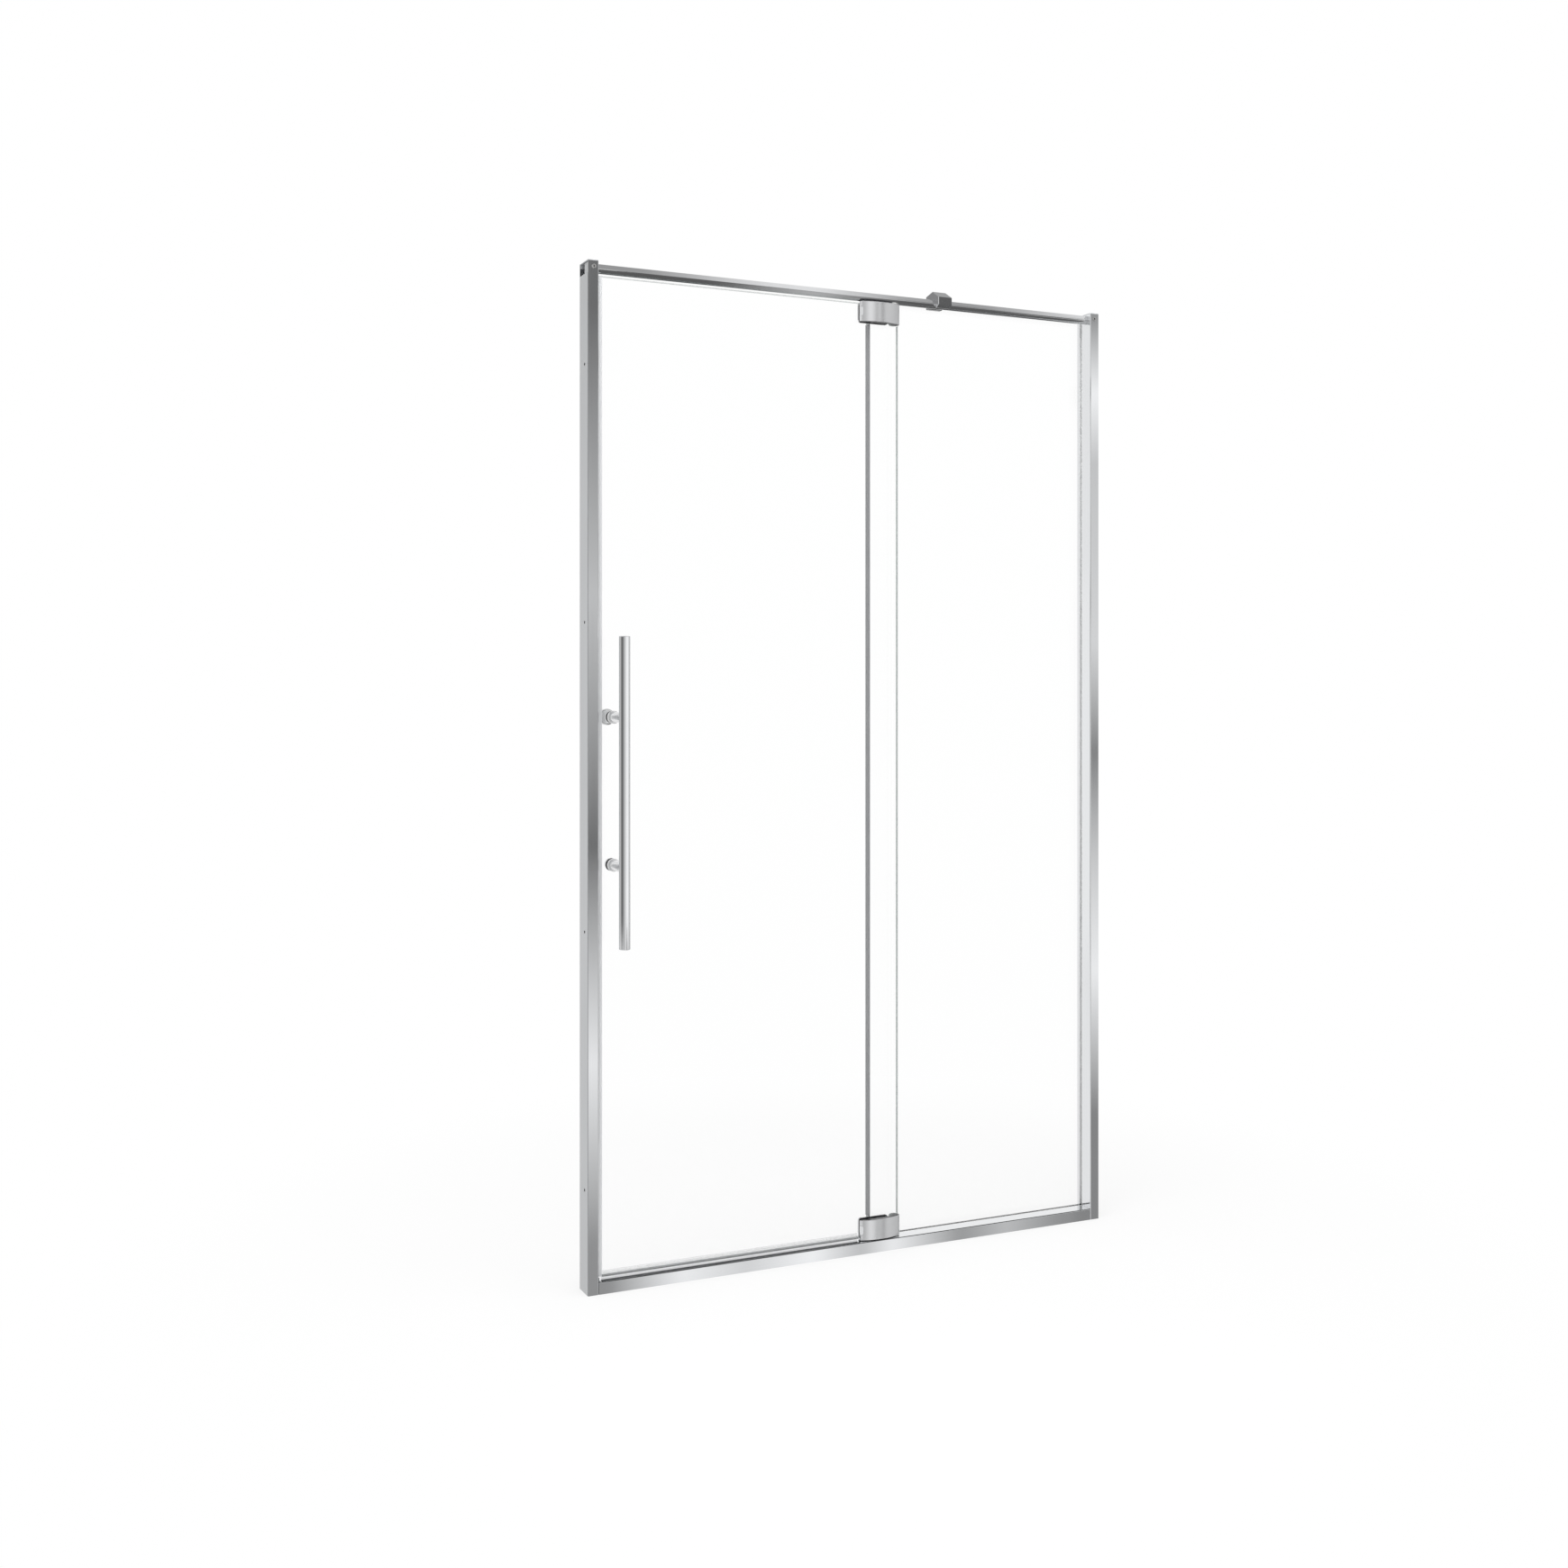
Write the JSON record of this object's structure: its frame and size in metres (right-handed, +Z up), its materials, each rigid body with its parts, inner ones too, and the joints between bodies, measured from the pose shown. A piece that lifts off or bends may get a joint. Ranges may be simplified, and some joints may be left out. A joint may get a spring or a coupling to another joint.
{
  "type": "frameless pivot shower door",
  "caption": "Alcove shower door set: chrome jambs, round header bar and low sill around a clear fixed pane and a clear pivoting leaf with bowed hinge blocks and a long tubular pull.",
  "frame": {"origin": "on the sill's underside, midway between the walls, in the door glass's middle plane", "axes": "+X along the set to the fixed pane's side, +Y into the shower, +Z up"},
  "size_m": [1.19, 0.125, 2.015],
  "materials": {
    "bright_aluminium": "bright polished, anodised",
    "mill_aluminium": "plain extruded, satin",
    "chrome": "mirror-bright chrome plate",
    "satin_chrome": "satin chrome plate, darker on the sawn ends",
    "clear_glass": "clear toughened glass with polished edges",
    "stainless": "satin stainless steel",
    "brass": "machined brass",
    "nylon": "natural nylon",
    "clear_seal": "translucent soft vinyl",
    "grey_seal": "grey soft vinyl",
    "black_gasket": "black gasket rubber",
    "magnet_strip": "flexible magnet strip",
    "cap_plastic": "silver-grey moulded plastic"
  },
  "bodies": {
    "frame": {"left_wall_channel": "mill_aluminium", "right_wall_channel": "mill_aluminium", "left_jamb": "bright_aluminium", "right_jamb": "bright_aluminium", "left_jamb_cap": "cap_plastic", "right_jamb_cap": "cap_plastic", "jamb_lock_screws": "stainless", "header_bar": "chrome", "bar_end_blocks": "mill_aluminium", "bar_end_screws": "stainless", "top_pivot_insert": "brass", "top_pivot_pin": "stainless", "sill": "bright_aluminium", "sill_corner_keys": "mill_aluminium", "corner_key_screws": "stainless", "sill_infill": "bright_aluminium", "bottom_pivot_seat": "brass", "pivot_seat_screws": "stainless", "bottom_pivot_pin": "stainless", "thrust_washer": "nylon", "fixed_glass": "clear_glass", "fixed_edge_seal": "grey_seal", "jamb_glazing_gaskets": "clear_seal", "sill_glazing_gaskets": "clear_seal", "setting_blocks": "nylon", "bar_clamp": "chrome", "clamp_bar_pad": "nylon", "clamp_glass_pad": "black_gasket", "clamp_grub_screws": "stainless", "strike_rail": "bright_aluminium", "strike_seal": "clear_seal", "strike_magnet": "magnet_strip"},
    "door": {"door_glass": "clear_glass", "top_hinge_front": "satin_chrome", "bottom_hinge_front": "satin_chrome", "top_hinge_back": "satin_chrome", "bottom_hinge_back": "satin_chrome", "top_hinge_gaskets": "black_gasket", "bottom_hinge_gaskets": "black_gasket", "hinge_screws": "stainless", "hinge_glass_sleeves": "nylon", "hinge_end_plugs": "chrome", "top_pivot_bush": "nylon", "bottom_pivot_bush": "nylon", "handle_bar": "chrome", "handle_end_caps": "chrome", "handle_posts": "chrome", "handle_collars": "chrome", "handle_washers": "black_gasket", "handle_glass_sleeves": "nylon", "handle_studs": "stainless", "handle_set_screws": "stainless", "inside_knob": "chrome", "lower_back_cap": "chrome", "door_edge_seal": "clear_seal", "door_edge_magnet": "magnet_strip", "door_bottom_seal": "clear_seal"}
  },
  "joints": [
    {"name": "door_swing", "type": "hinge", "parent": "frame", "child": "door", "pos_m": [0.09, 0, 0], "axis": [0, 0, 1], "range_deg": [0, 100]}
  ]
}
